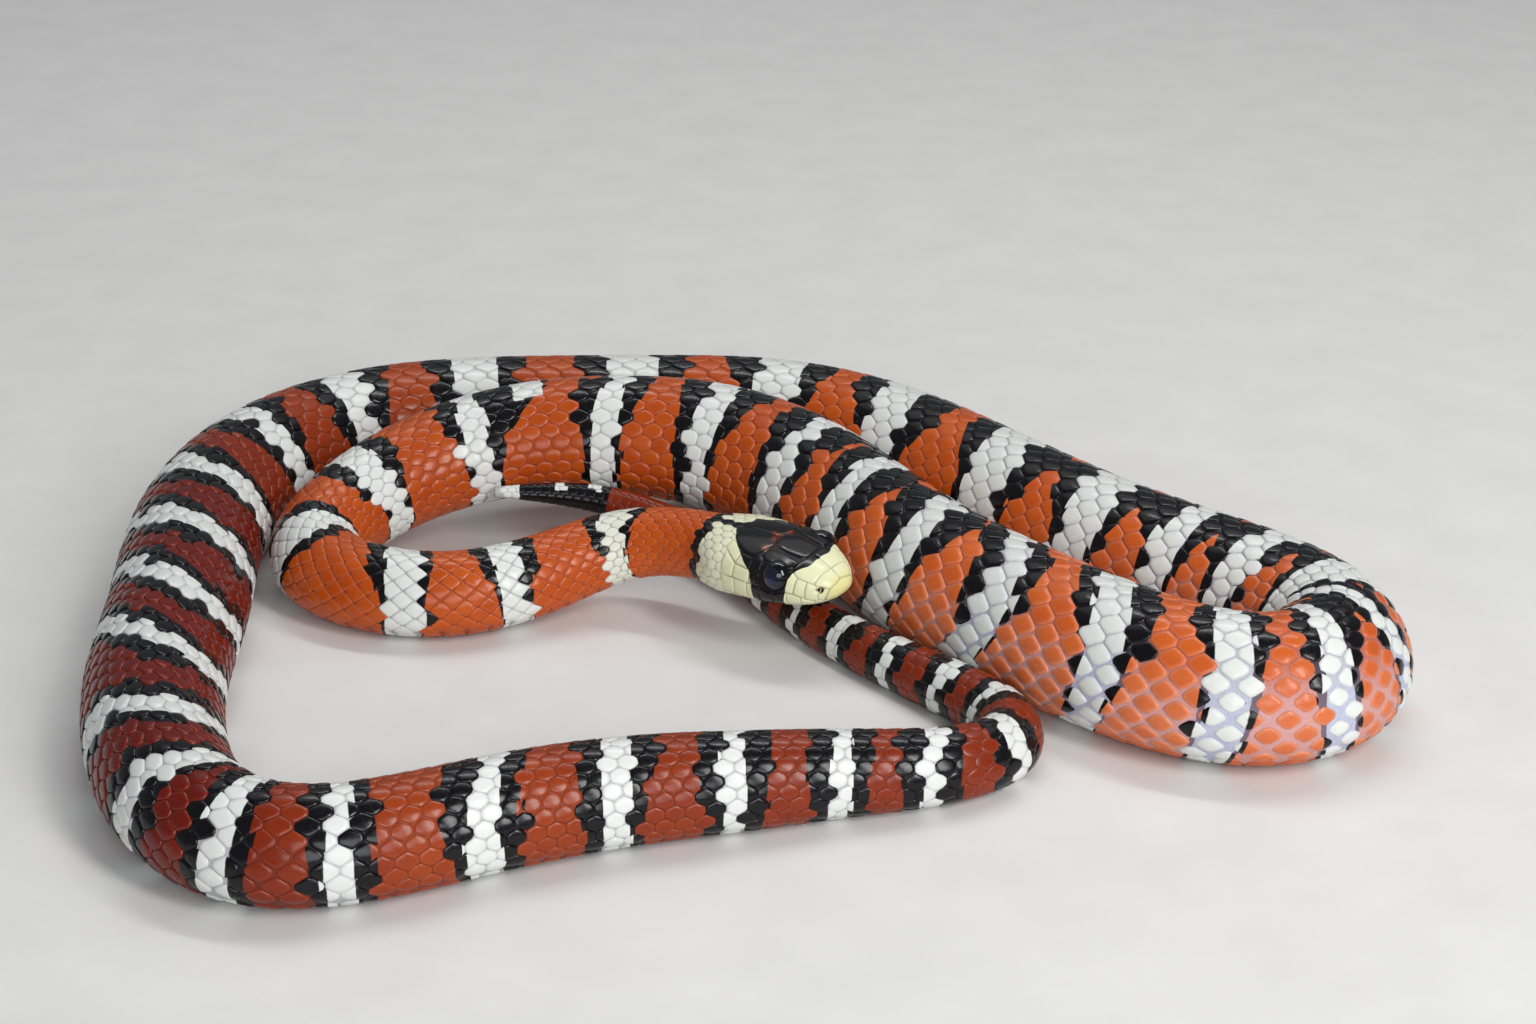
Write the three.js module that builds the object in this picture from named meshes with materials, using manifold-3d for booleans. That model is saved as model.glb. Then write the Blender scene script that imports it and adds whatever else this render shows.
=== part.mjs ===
// Milk snake of the mountain kingsnake kind, life size, lying in one loose coil with its head a little raised.
// Millimetres, +Z up. X runs along the coil's longer side, and the snake is seen from -Y.
// The snake is one animal, cut into head, neck, trunk and tail lengths that meet face to face.
import * as THREE from "three";
import { mergeVertices } from "three/addons/utils/BufferGeometryUtils.js";
import Module from "manifold-3d";

const wasm = await Module();
wasm.setup();

// The way the backbone lies, from snout to tail tip, as the control points of one smooth curve:
// x, y, half the body's width there, and how far the belly is lifted off the floor.
const route = [
  // head and raised neck
  [13.0, 456.0, 3.0, 12.9],
  [3.8, 463.7, 6.0, 9.9],
  [-5.4, 471.4, 6.3, 9.1],
  [-15.5, 479.3, 6.2, 8.3],
  [-26.5, 482.5, 6.6, 5.6],
  [-37.0, 477.5, 7.2, 2.4],
  [-47.0, 472.0, 7.6, 0.7],
  [-58.0, 469.5, 7.8, 0.2],
  // the turn at the left, climbing towards the front length
  [-69.0, 472.5, 8.0, 0.2],
  [-79.0, 480.0, 8.2, 0.5],
  [-81.0, 490.5, 8.6, 1.6],
  [-74.0, 502.0, 9.3, 3.8],
  [-62.0, 513.0, 10.3, 5.8],
  // the front length, coming down to the floor
  [-45.0, 520.0, 11.0, 7.2],
  [-27.0, 521.0, 11.6, 6.8],
  [-9.0, 519.5, 12.4, 4.6],
  [6.0, 508.5, 13.0, 2.0],
  [16.5, 491.5, 13.1, 0.4],
  [26.0, 473.0, 13.1, 0],
  [38.0, 457.0, 13.0, 0],
  [51.0, 441.5, 13.0, 0],
  // the tight bend at the right
  [64.0, 429.0, 12.9, 0],
  [78.0, 423.5, 12.7, 0],
  [90.0, 430.0, 12.6, 0],
  [93.5, 443.5, 12.6, 0],
  [86.5, 456.5, 12.5, 0],
  [75.0, 467.5, 12.5, 0],
  // the back length
  [60.5, 481.5, 12.4, 0],
  [44.5, 503.5, 12.3, 0],
  [25.0, 532.0, 12.2, 0],
  [2.0, 547.0, 12.2, 0],
  [-25.0, 547.0, 12.1, 0],
  [-52.0, 547.0, 12.1, 0],
  [-77.0, 543.0, 12.0, 0],
  // the outer loop at the left, coming forward
  [-95.0, 525.0, 12.0, 0],
  [-102.0, 501.0, 12.0, 0],
  [-101.5, 479.0, 11.9, 0],
  [-99.0, 457.0, 11.8, 0],
  [-99.0, 433.0, 11.4, 0],
  [-94.5, 409.0, 10.9, 0],
  [-86.5, 389.5, 10.2, 0],
  [-73.0, 378.5, 9.6, 0],
  // the low length in front
  [-57.0, 382.0, 9.2, 0],
  [-40.0, 391.5, 9.1, 0],
  [-22.0, 398.5, 8.8, 0],
  [-4.0, 402.5, 8.1, 0],
  [12.0, 407.0, 7.1, 0],
  // the tail, turning back under the chin to lie against the flank
  [27.0, 409.5, 6.3, 0],
  [38.5, 417.0, 5.7, 0],
  [38.5, 429.5, 5.3, 0],
  [28.5, 441.5, 4.9, 0],
  [15.0, 456.5, 4.5, 0],
  [2.5, 474.5, 4.1, 0.2],
  [-7.0, 492.0, 3.7, 1.2],
  [-19.0, 504.0, 3.3, 4.6],
  [-34.0, 507.0, 2.7, 8.6],
  [-50.0, 505.0, 1.0, 11.0],
];

// Where the middle of the coil's outline lies in the route's own coordinates.
const middleX = -4.51;
const middleY = 465.04;

// Cross-section of the body: a loaf, a little wider than high, with a flat belly strip on the floor.
const widthFactor = 1.02;
const heightFactor = 0.95;
const shoulderDrop = 0.05;
const bellyFlattening = 0.03;
const centreHeight = 0.9;
const bellySink = 0.3;
const sides = 18;
const step = 6;

// Where one length ends and the next begins, in mm along the back from the snout.
const cutGap = 0.3;
const headEnd = 31;
const neckCuts = [31, 58, 86];
const torsoCuts = [86, 118, 150, 184, 216, 256, 300, 325, 352, 400, 444, 482, 520, 560, 596, 632, 676, 710, 742, 784, 828];
const tailCuts = [828, 856, 884, 922, 958];

// Head, measured back from the snout tip.
const headWidth = 17.9;
const headCrown = 5.9;
const headChin = 5.4;
const skullLength = 20;
const sideSwell = [2.6, 0.53];
const crownSwell = [2.4, 0.56];
const chinSwell = [2.1, 0.58];
const neckJoinStart = 22;
const headBoxiness = 2.35;
const headRoll = THREE.MathUtils.degToRad(8);
const headRollEnd = 60;
const headSides = 36;
const headStations = 30;

// Mouth line, lips, brows, nostrils and eyes.
const mouthBack = 20;
const mouthFrontHeight = -0.75;
const mouthSag = 1.2;
const mouthCut = 0.3;
const mouthDepth = 0.55;
const lipOverhang = 0.3;
const lipTurn = 0.8;
const browHeight = 0.6;
const browReach = 3;
const browTurn = 0.72;
const browSpread = 0.2;
const browLift = 0.8;
const eyeBack = 9.7;
const eyeHeight = 1.9;
const eyeSide = 6.2;
const eyeRadius = 2.2;
const eyeGap = 0.3;
const nostrilBack = 2.9;
const nostrilHeight = 0.35;
const nostrilRadius = 0.5;
const nostrilSunk = 0.15;

// Colours of the pattern's main scales.
const red = 0xc2501a;
const cream = 0xece6cf;
const black = 0x14141a;

function smoothStep(from, to, value) {
  const t = THREE.MathUtils.clamp((value - from) / (to - from), 0, 1);
  return t * t * (3 - 2 * t);
}

// The smooth curve: a uniform cubic B-spline whose first and last points are the ends.
function routePoint(row) {
  const [x, y, half, lift] = row;
  return [x - middleX, y - middleY, lift + centreHeight * half - bellySink, half];
}

function mirrored(end, next) {
  return end.map((value, k) => 2 * value - next[k]);
}

const points = route.map(routePoint);
points.unshift(mirrored(points[0], points[1]));
points.push(mirrored(points.at(-1), points.at(-2)));
const spans = points.length - 3;

function curveAt(u) {
  const span = Math.min(Math.floor(u), spans - 1);
  const t = u - span;
  const weights = [
    (1 - t) ** 3 / 6,
    (3 * t ** 3 - 6 * t * t + 4) / 6,
    (-3 * t ** 3 + 3 * t * t + 3 * t + 1) / 6,
    t ** 3 / 6,
  ];
  const found = [0, 0, 0, 0];
  weights.forEach((weight, i) => {
    points[span + i].forEach((value, k) => {
      found[k] += weight * value;
    });
  });
  return found;
}

function centreAt(u) {
  const [x, y, z] = curveAt(u);
  return new THREE.Vector3(x, y, z);
}

// Distance along the back, tabled so that a place can be found from it.
const tableStep = 1 / 40;
const table = [{ u: 0, s: 0 }];
for (let u = tableStep; u <= spans + 1e-9; u += tableStep) {
  const last = table.at(-1);
  table.push({ u, s: last.s + centreAt(u).distanceTo(centreAt(last.u)) });
}
const bodyLength = table.at(-1).s;

function paramAt(s) {
  const i = THREE.MathUtils.clamp(table.findIndex((row) => row.s >= s), 1, table.length - 1);
  const a = table[i - 1];
  const b = table[i];
  return THREE.MathUtils.lerp(a.u, b.u, THREE.MathUtils.clamp((s - a.s) / (b.s - a.s), 0, 1));
}

// The body's place, size and directions at a distance s: back points to the tail, left to the snake's left.
function stationAt(s) {
  const u = paramAt(s);
  const reach = 0.01;
  const from = centreAt(Math.max(u - reach, 0));
  const to = centreAt(Math.min(u + reach, spans));
  const back = to.sub(from).normalize();
  const level = new THREE.Vector3().crossVectors(back, new THREE.Vector3(0, 0, 1)).normalize();
  const upright = new THREE.Vector3().crossVectors(level, back);
  const roll = headRoll * (1 - smoothStep(headEnd, headRollEnd, s));
  const left = level.clone().multiplyScalar(Math.cos(roll)).addScaledVector(upright, Math.sin(roll));
  const up = upright.clone().multiplyScalar(Math.cos(roll)).addScaledVector(level, -Math.sin(roll));
  return { centre: centreAt(u), half: curveAt(u)[3], back, left, up };
}

function placeIn(station, side, height) {
  const point = station.centre.clone();
  return point.addScaledVector(station.left, side).addScaledVector(station.up, height);
}

// One point of the body's loaf section, at an angle from the middle of the back.
function bodySection(half, angle) {
  const side = widthFactor * half * (Math.sin(angle) - shoulderDrop * Math.sin(2 * angle));
  const height = heightFactor * half * (Math.cos(angle) + bellyFlattening * Math.cos(2 * angle));
  return [side, height];
}

// How the head swells from the snout to its full size: fullness and bluntness shape the rise.
function swell(s, [fullness, bluntness]) {
  const t = THREE.MathUtils.clamp(s / skullLength, 0, 1);
  return (1 - (1 - t) ** fullness) ** bluntness;
}

function mouthHeight(s) {
  return mouthFrontHeight - mouthSag * Math.sin((Math.PI * 0.8 * s) / mouthBack);
}

// One point of the head's section: flat crown, brows over the eyes, and lips over a narrower chin.
function headSection(s, half, angle, inset) {
  const join = smoothStep(neckJoinStart, headEnd, s);
  const wide = (headWidth / 2) * swell(s, sideSwell) - inset;
  const crown = headCrown * swell(s, crownSwell) - inset;
  const chin = headChin * swell(s, chinSwell) - inset;
  const power = 2 / headBoxiness;
  const sine = Math.sin(angle);
  const cosine = Math.cos(angle);
  let side = wide * Math.sign(sine) * Math.abs(sine) ** power;
  let height = (cosine > 0 ? crown : chin) * Math.sign(cosine) * Math.abs(cosine) ** power;
  if (cosine > 0) {
    const along = Math.exp(-(((s - eyeBack) / browReach) ** 2));
    const around = Math.exp(-(((Math.abs(sine) - browTurn) / browSpread) ** 2));
    side += browHeight * along * around * Math.sign(sine);
    height += browHeight * along * around * browLift;
  }
  const jaw = smoothStep(0, lipTurn, mouthHeight(s) - height) * (1 - smoothStep(mouthBack - 3, mouthBack + 2, s));
  side -= Math.sign(sine) * jaw * Math.min(lipOverhang, wide * 0.2);
  const [bodySide, bodyHeight] = bodySection(half, angle);
  return [THREE.MathUtils.lerp(side, bodySide, join), THREE.MathUtils.lerp(height, bodyHeight, join)];
}

// A closed skin over rings of points, with a fan at each end.
function closedLoft(rings) {
  const count = rings[0].length;
  const positions = [];
  rings.flat().forEach((p) => positions.push(p.x, p.y, p.z));
  const index = [];
  for (let r = 0; r < rings.length - 1; r += 1) {
    for (let k = 0; k < count; k += 1) {
      const next = (k + 1) % count;
      const a = r * count + k;
      const b = r * count + next;
      const c = a + count;
      const d = b + count;
      index.push(a, b, c, b, d, c);
    }
  }
  [0, rings.length - 1].forEach((r) => {
    const middle = new THREE.Vector3();
    rings[r].forEach((p) => middle.addScaledVector(p, 1 / count));
    positions.push(middle.x, middle.y, middle.z);
    const centre = positions.length / 3 - 1;
    for (let k = 0; k < count; k += 1) {
      const a = r * count + k;
      const b = r * count + ((k + 1) % count);
      if (r === 0) {
        index.push(centre, b, a);
      } else {
        index.push(centre, a, b);
      }
    }
  });
  const geometry = new THREE.BufferGeometry();
  geometry.setAttribute("position", new THREE.Float32BufferAttribute(positions, 3));
  geometry.setIndex(index);
  return geometry;
}

// A ring of the body at s. What would sink below the floor is laid flat on it.
function bodyRing(s) {
  const station = stationAt(s);
  const ring = [];
  for (let k = 0; k < sides; k += 1) {
    const angle = ((k + 0.5) / sides) * 2 * Math.PI;
    const point = placeIn(station, ...bodySection(station.half, angle));
    point.z = Math.max(point.z, 0);
    ring.push(point);
  }
  return ring;
}

function bodyLengthGeometry(from, to) {
  const count = Math.max(2, Math.round((to - from) / step));
  const rings = [];
  for (let i = 0; i <= count; i += 1) {
    rings.push(bodyRing(THREE.MathUtils.lerp(from, to, i / count)));
  }
  return closedLoft(rings);
}

function headGeometry(inset) {
  const rings = [];
  for (let i = 0; i <= headStations; i += 1) {
    const t = i / headStations;
    const s = THREE.MathUtils.lerp(0.06 + inset, headEnd - cutGap / 2, t ** 1.7);
    const station = stationAt(s);
    const ring = [];
    for (let k = 0; k < headSides; k += 1) {
      const angle = ((k + 0.5) / headSides) * 2 * Math.PI;
      ring.push(placeIn(station, ...headSection(s, station.half, angle, inset)));
    }
    rings.push(ring);
  }
  return closedLoft(rings);
}

function asSolid(geometry) {
  const bare = geometry.clone();
  bare.deleteAttribute("normal");
  bare.deleteAttribute("uv");
  const merged = mergeVertices(bare, 1e-5);
  const mesh = new wasm.Mesh({
    numProp: 3,
    vertProperties: new Float32Array(merged.attributes.position.array),
    triVerts: new Uint32Array(merged.index.array),
  });
  return new wasm.Manifold(mesh);
}

function asGeometry(solid) {
  const mesh = solid.getMesh();
  const geometry = new THREE.BufferGeometry();
  geometry.setAttribute("position", new THREE.Float32BufferAttribute(mesh.vertProperties, 3));
  geometry.setIndex([...mesh.triVerts]);
  return geometry;
}

// A thin level sheet through the head at the line of the mouth, reaching past both lips.
function mouthSheet() {
  const rings = [];
  const steps = 20;
  for (let i = 0; i <= steps; i += 1) {
    const s = THREE.MathUtils.lerp(0, mouthBack, i / steps);
    const station = stationAt(s);
    const height = mouthHeight(s);
    const reach = headWidth;
    rings.push([
      placeIn(station, reach, height + mouthCut / 2),
      placeIn(station, reach, height - mouthCut / 2),
      placeIn(station, -reach, height - mouthCut / 2),
      placeIn(station, -reach, height + mouthCut / 2),
    ]);
  }
  const station = stationAt(0);
  rings.unshift(rings[0].map((p) => p.clone().addScaledVector(station.back, -2)));
  return asSolid(closedLoft(rings));
}

function ballAt(radius, s, side, height, across, down) {
  const ball = new THREE.SphereGeometry(radius, across, down);
  const place = placeIn(stationAt(s), side, height);
  ball.translate(place.x, place.y, place.z);
  return ball;
}

function nostril(sign) {
  const wide = (headWidth / 2) * swell(nostrilBack, sideSwell);
  return asSolid(ballAt(nostrilRadius, nostrilBack, sign * (wide - nostrilSunk), nostrilHeight, 12, 8));
}

function eyeSocket(sign) {
  return asSolid(ballAt(eyeRadius + eyeGap, eyeBack, sign * eyeSide, eyeHeight, 20, 14));
}

function headSolid() {
  let head = asSolid(headGeometry(0));
  const core = asSolid(headGeometry(mouthDepth));
  head = head.subtract(mouthSheet().subtract(core));
  for (const sign of [1, -1]) {
    head = head.subtract(eyeSocket(sign)).subtract(nostril(sign));
  }
  return asGeometry(head);
}

function sub(name, geometry, color, roughness) {
  const material = new THREE.MeshStandardMaterial({ color, roughness, metalness: 0 });
  const mesh = new THREE.Mesh(geometry, material);
  mesh.name = name;
  return mesh;
}

function eye(name, sign) {
  const ball = mergeVertices(ballAt(eyeRadius, eyeBack, sign * eyeSide, eyeHeight, 20, 14));
  return sub(name, ball, black, 0.1);
}

// Lengths of body between the cuts, each named with its place in the row.
function lengths(name, cuts, color) {
  return cuts.slice(0, -1).map((from, i) => {
    const geometry = bodyLengthGeometry(from + cutGap / 2, cuts[i + 1] - cutGap / 2);
    return sub(`${name}_${String(i + 1).padStart(2, "0")}`, geometry, color, 0.35);
  });
}

const group = new THREE.Group();
group.add(sub("head", headSolid(), cream, 0.35));
group.add(eye("eye_left", 1), eye("eye_right", -1));
group.add(...lengths("neck", neckCuts, red));
group.add(...lengths("torso", torsoCuts, red));
group.add(...lengths("tail", [...tailCuts, bodyLength], red));

export default group;
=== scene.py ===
import math

import bpy
import numpy as np
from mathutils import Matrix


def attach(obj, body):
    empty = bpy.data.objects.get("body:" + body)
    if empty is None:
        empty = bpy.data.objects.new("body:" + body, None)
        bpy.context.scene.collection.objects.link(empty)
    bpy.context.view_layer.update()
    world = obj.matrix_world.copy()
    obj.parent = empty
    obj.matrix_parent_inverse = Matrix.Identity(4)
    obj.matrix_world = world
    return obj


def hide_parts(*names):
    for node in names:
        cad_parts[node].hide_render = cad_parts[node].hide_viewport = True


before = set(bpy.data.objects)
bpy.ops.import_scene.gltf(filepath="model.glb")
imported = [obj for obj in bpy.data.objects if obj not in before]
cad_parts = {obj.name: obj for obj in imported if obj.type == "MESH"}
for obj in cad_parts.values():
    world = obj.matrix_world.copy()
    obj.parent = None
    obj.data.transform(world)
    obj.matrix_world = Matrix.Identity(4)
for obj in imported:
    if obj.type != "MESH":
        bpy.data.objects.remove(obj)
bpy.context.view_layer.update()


# The backbone: one metre of snake laid in a loose coil. It is the same smooth curve that the solids follow,
# through x, y, half the body's width and the lift of the belly, all in mm, from the snout to the tail tip.
route = np.array([
    (13.0, 456.0, 3.0, 12.9), (3.8, 463.7, 6.0, 9.9), (-5.4, 471.4, 6.3, 9.1), (-15.5, 479.3, 6.2, 8.3),
    (-26.5, 482.5, 6.6, 5.6), (-37.0, 477.5, 7.2, 2.4), (-47.0, 472.0, 7.6, 0.7), (-58.0, 469.5, 7.8, 0.2),
    (-69.0, 472.5, 8.0, 0.2), (-79.0, 480.0, 8.2, 0.5), (-81.0, 490.5, 8.6, 1.6), (-74.0, 502.0, 9.3, 3.8),
    (-62.0, 513.0, 10.3, 5.8), (-45.0, 520.0, 11.0, 7.2), (-27.0, 521.0, 11.6, 6.8), (-9.0, 519.5, 12.4, 4.6),
    (6.0, 508.5, 13.0, 2.0), (16.5, 491.5, 13.1, 0.4), (26.0, 473.0, 13.1, 0.0), (38.0, 457.0, 13.0, 0.0),
    (51.0, 441.5, 13.0, 0.0), (64.0, 429.0, 12.9, 0.0), (78.0, 423.5, 12.7, 0.0), (90.0, 430.0, 12.6, 0.0),
    (93.5, 443.5, 12.6, 0.0), (86.5, 456.5, 12.5, 0.0), (75.0, 467.5, 12.5, 0.0), (60.5, 481.5, 12.4, 0.0),
    (44.5, 503.5, 12.3, 0.0), (25.0, 532.0, 12.2, 0.0), (2.0, 547.0, 12.2, 0.0), (-25.0, 547.0, 12.1, 0.0),
    (-52.0, 547.0, 12.1, 0.0), (-77.0, 543.0, 12.0, 0.0), (-95.0, 525.0, 12.0, 0.0), (-102.0, 501.0, 12.0, 0.0),
    (-101.5, 479.0, 11.9, 0.0), (-99.0, 457.0, 11.8, 0.0), (-99.0, 433.0, 11.4, 0.0), (-94.5, 409.0, 10.9, 0.0),
    (-86.5, 389.5, 10.2, 0.0), (-73.0, 378.5, 9.6, 0.0), (-57.0, 382.0, 9.2, 0.0), (-40.0, 391.5, 9.1, 0.0),
    (-22.0, 398.5, 8.8, 0.0), (-4.0, 402.5, 8.1, 0.0), (12.0, 407.0, 7.1, 0.0), (27.0, 409.5, 6.3, 0.0),
    (38.5, 417.0, 5.7, 0.0), (38.5, 429.5, 5.3, 0.0), (28.5, 441.5, 4.9, 0.0), (15.0, 456.5, 4.5, 0.0),
    (2.5, 474.5, 4.1, 0.2), (-7.0, 492.0, 3.7, 1.2), (-19.0, 504.0, 3.3, 4.6), (-34.0, 507.0, 2.7, 8.6),
    (-50.0, 505.0, 1.0, 11.0),
])
coil_middle = (-4.51, 465.04)
centre_height = 0.9
belly_sink = 0.3
MM = 0.001


def smooth_step(start, end, value):
    t = np.clip((value - start) / (end - start), 0.0, 1.0)
    return t * t * (3.0 - 2.0 * t)


posts = np.column_stack([
    route[:, 0] - coil_middle[0],
    route[:, 1] - coil_middle[1],
    route[:, 3] + centre_height * route[:, 2] - belly_sink,
    route[:, 2],
])
posts = np.vstack([2 * posts[0] - posts[1], posts, 2 * posts[-1] - posts[-2]])
spans = len(posts) - 3


def backbone(u):
    """Middle of the body and half its width at curve parameters u."""
    i = np.clip(np.floor(u).astype(int), 0, spans - 1)
    t = (u - i)[:, None]
    return (
        (1 - t) ** 3 * posts[i]
        + (3 * t ** 3 - 6 * t ** 2 + 4) * posts[i + 1]
        + (-3 * t ** 3 + 3 * t ** 2 + 3 * t + 1) * posts[i + 2]
        + t ** 3 * posts[i + 3]
    ) / 6


tape_u = np.linspace(0.0, spans, 60 * spans + 1)
tape_steps = np.linalg.norm(np.diff(backbone(tape_u)[:, :3], axis=0), axis=1)
tape = np.concatenate([[0.0], np.cumsum(tape_steps)])
body_length = tape[-1]
head_end = 31.0
head_roll = math.radians(8.0)
head_roll_end = 60.0


def stations(s):
    """Middle, half width, and the back, left and up directions at distances s behind the snout."""
    u = np.interp(s, tape, tape_u)
    here = backbone(u)
    back = backbone(np.clip(u + 0.01, 0, spans))[:, :3] - backbone(np.clip(u - 0.01, 0, spans))[:, :3]
    back /= np.linalg.norm(back, axis=1)[:, None]
    level = np.cross(back, [0.0, 0.0, 1.0])
    level /= np.linalg.norm(level, axis=1)[:, None]
    upright = np.cross(level, back)
    roll = (head_roll * (1 - smooth_step(head_end, head_roll_end, s)))[:, None]
    left = level * np.cos(roll) + upright * np.sin(roll)
    up = upright * np.cos(roll) - level * np.sin(roll)
    return here[:, :3], here[:, 3], back, left, up


# The form of the flesh: a loaf section for the body, flat where it lies on the floor, and for the head a flat
# crown with brows over the eyes, swelling from a blunt snout to 18 mm across the jaws and back to the neck.
skull_length = 20.0
head_half_width = 8.95
crown_height = 5.9
chin_depth = 5.4
eye_back = 9.7
orbit_height = 2.05
orbit_reach = 2.9
orbit_depth = 0.6
nostril_back = 2.4
nostril_height = 0.95
nostril_radius = 0.5
nostril_depth = 0.9
neck_start = 22.0
width_factor, height_factor = 1.02, 0.95
shoulder_drop, belly_flattening = 0.05, 0.03
head_boxiness = 2.35
mouth_front, mouth_sag, mouth_bend = -1.35, 1.35, 0.8
snout_droop, droop_end = 0.7, 12.0
brow_height, brow_reach, brow_lift = 0.6, 3.0, 0.8
brow_turn, brow_spread = 0.72, 0.2
lip_tuck = 0.45
lip_groove_depth, lip_groove_width = 0.35, 0.16


def swell(s, fullness, bluntness):
    t = np.clip(s / skull_length, 0.0, 1.0)
    return (1 - (1 - t) ** fullness) ** bluntness


def mouth_height(s):
    return mouth_front - mouth_sag * np.sin(math.pi * mouth_bend * s / skull_length)


def droop(s):
    """How far the snout hangs below the line of the backbone."""
    return snout_droop * (1 - smooth_step(0.0, droop_end, s))


def body_section(half, angle):
    side = width_factor * half * (np.sin(angle) - shoulder_drop * np.sin(2 * angle))
    height = height_factor * half * (np.cos(angle) + belly_flattening * np.cos(2 * angle))
    return side, height


def head_section(s, angle):
    wide = head_half_width * swell(s, 2.6, 0.53)
    crown = crown_height * swell(s, 2.4, 0.56)
    chin = chin_depth * swell(s, 2.1, 0.58)
    sine, cosine = np.sin(angle), np.cos(angle)
    power = 2 / head_boxiness
    side = wide * np.sign(sine) * np.abs(sine) ** power
    height = np.where(cosine > 0, crown, chin) * np.sign(cosine) * np.abs(cosine) ** power
    brow = brow_height * np.exp(-((s - eye_back) / brow_reach) ** 2)
    brow = brow * np.exp(-((np.abs(sine) - brow_turn) / brow_spread) ** 2) * (cosine > 0)
    side = side + brow * np.sign(sine)
    height = height + brow * brow_lift
    jaw = smooth_step(0.0, 0.8, mouth_height(s) - height) * (1 - smooth_step(17.0, neck_start, s))
    side = side - np.sign(sine) * jaw * np.minimum(lip_tuck, wide * 0.2)
    # The skin dips round each eye and into each nostril, and the mouth line is a narrow groove.
    away = np.hypot(s - eye_back, height - orbit_height)
    dip = orbit_depth * (1 - smooth_step(1.2, orbit_reach, away)) * (np.abs(sine) > 0.6)
    groove = lip_groove_depth * np.exp(-((height - mouth_height(s)) / lip_groove_width) ** 2)
    groove = groove * (1 - smooth_step(18.0, 20.5, s)) * smooth_step(1.2, 2.0, s)
    hole = np.hypot(s - nostril_back, height - nostril_height) / nostril_radius
    pit = np.exp(-np.minimum(hole, 3.0) ** 4) * (np.abs(sine) > 0.5)
    side = side - np.sign(sine) * (dip + groove + nostril_depth * pit)
    return side, height - droop(s)


# The flesh is tabled once, over distance along the back and share of the way round the girth: 0 is the middle
# of the back, 1 the middle of the belly, and the snake's left is positive.
table_step = 0.75
table_s = np.concatenate([
    head_end * np.linspace(0.01, 1.0, 240) ** 1.6,
    np.arange(head_end + table_step, body_length - 0.3, table_step),
    [body_length - 0.02],
])
table_g = np.linspace(-1.0, 1.0, 321)


def flesh_table():
    middle, half, _, left, up = stations(table_s)
    angle = np.linspace(0.0, 2 * math.pi, 721) - math.pi
    s_all = np.repeat(table_s[:, None], len(angle), 1)
    a_all = np.repeat(angle[None], len(table_s), 0)
    side, height = body_section(half[:, None], a_all)
    head_side, head_height = head_section(s_all, a_all)
    join = smooth_step(neck_start, head_end, s_all)
    side = head_side + (side - head_side) * join
    height = head_height + (height - head_height) * join
    points = middle[:, None] + left[:, None] * side[..., None] + up[:, None] * height[..., None]
    points[..., 2] = np.maximum(points[..., 2], 0.0)
    arc = np.linalg.norm(np.diff(points, axis=1), axis=2)
    arc = np.concatenate([np.zeros((len(table_s), 1)), np.cumsum(arc, 1)], 1)
    top = arc[:, 360]
    found = np.empty((len(table_s), len(table_g), 3))
    lips = np.empty((len(table_s), 2))
    for i in range(len(table_s)):
        reach = np.where(arc[i] < top[i], (arc[i] - top[i]) / top[i], (arc[i] - top[i]) / (arc[i, -1] - top[i]))
        for k in range(3):
            found[i, :, k] = np.interp(table_g, reach, points[i, :, k])
        below = height[i] < mouth_height(table_s[i]) - droop(table_s[i])
        lips[i, 0] = np.abs(reach[~below]).max()
        lips[i, 1] = arc[i, -1] / 2
    return found, lips[:, 0], lips[:, 1]


flesh, lip_share, half_girth = flesh_table()
lips_meet = 2.2
snout_rows = table_s < lips_meet
lip_share[snout_rows] = np.interp(lips_meet, table_s, lip_share) + 0.03 * (lips_meet - table_s[snout_rows])
along = np.gradient(flesh, axis=0)
around = np.gradient(flesh, axis=1)
around[:, 0] = around[:, -1] = (around[:, 0] + around[:, -1]) / 2
flesh_out = np.cross(around, along)
flesh_out /= np.linalg.norm(flesh_out, axis=2)[..., None] + 1e-12
inward = ((flesh - stations(table_s)[0][:, None]) * flesh_out).sum(2).mean(1) < 0
flesh_out[inward] *= -1
stretch = np.linalg.norm(along, axis=2) / np.gradient(table_s)[:, None]


def look_up(table, s, g):
    """Smooth reading of a table at distances s and girth shares g, which wrap round the belly."""
    row = np.interp(s, table_s, np.arange(len(table_s)))
    column = ((g + 1.0) % 2.0) / 2.0 * (len(table_g) - 1)
    r = np.clip(row.astype(int), 0, len(table_s) - 2)
    c = np.clip(column.astype(int), 0, len(table_g) - 2)
    fr, fc = row - r, column - c
    if table.ndim == 3:
        fr, fc = fr[..., None], fc[..., None]
    near = table[r, c] * (1 - fc) + table[r, c + 1] * fc
    far = table[r + 1, c] * (1 - fc) + table[r + 1, c + 1] * fc
    return near * (1 - fr) + far * fr


def girth_at(s):
    return np.interp(s, table_s, half_girth)


coat_least, coat_share, coat_most = 0.04, 0.042, 0.45
shield_coat = 0.24


def coat_depth(s):
    """How far the skin lies under the tops of the scales."""
    half = np.interp(s, tape, backbone(tape_u)[:, 3])
    body = np.minimum(coat_most, coat_least + coat_share * half)
    return body + (shield_coat - body) * (1 - smooth_step(16.0, 34.0, s))


def lay(s, g, lift, floor=0.0):
    """Points in mm over the skin at s and g, raised by lift, and never under the floor."""
    points = look_up(flesh, s, g)
    out = look_up(flesh_out, s, g)
    out /= np.linalg.norm(out, axis=-1)[..., None] + 1e-12
    points = points + out * (lift - coat_depth(s))[..., None]
    points[..., 2] = np.maximum(points[..., 2], floor)
    return points


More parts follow.
